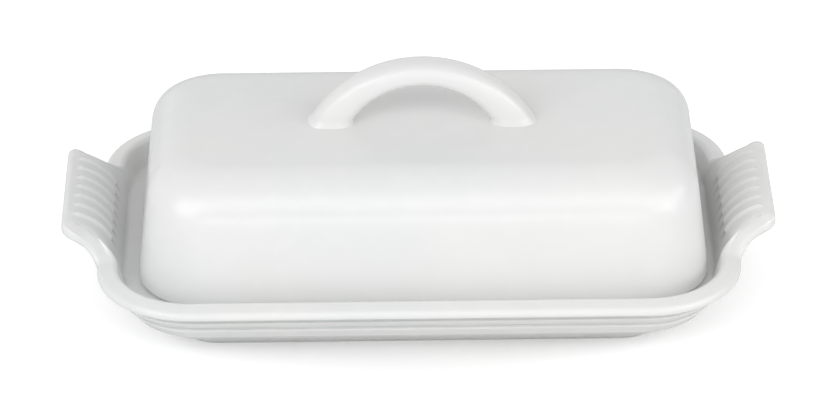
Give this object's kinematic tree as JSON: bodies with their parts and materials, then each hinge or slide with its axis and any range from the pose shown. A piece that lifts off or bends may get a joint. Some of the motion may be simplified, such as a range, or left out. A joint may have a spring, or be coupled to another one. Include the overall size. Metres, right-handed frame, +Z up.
{
  "type": "covered butter dish",
  "caption": "Rectangular glazed stoneware butter dish: a footed tray with a fluted grip at each end, and a lift-off domed lid with a strap handle.",
  "frame": {"origin": "on the table, under the middle of the dish", "axes": "+X runs from grip to grip, +Y runs back from the front long side, +Z is up"},
  "size_m": [0.23, 0.1264, 0.0825],
  "materials": {
    "dish_glaze": "gloss white glaze over stoneware",
    "lid_glaze": "gloss white glaze over stoneware",
    "handle_glaze": "gloss white glaze over stoneware"
  },
  "bodies": {
    "dish": {"dish": "dish_glaze"},
    "lid": {"lid_shell": "lid_glaze", "lid_handle": "handle_glaze"}
  },
  "joints": [
    {"name": "lid_lift", "type": "slide", "parent": "dish", "child": "lid", "axis": [0, 0, 1], "range_m": [0, 0.12]}
  ]
}
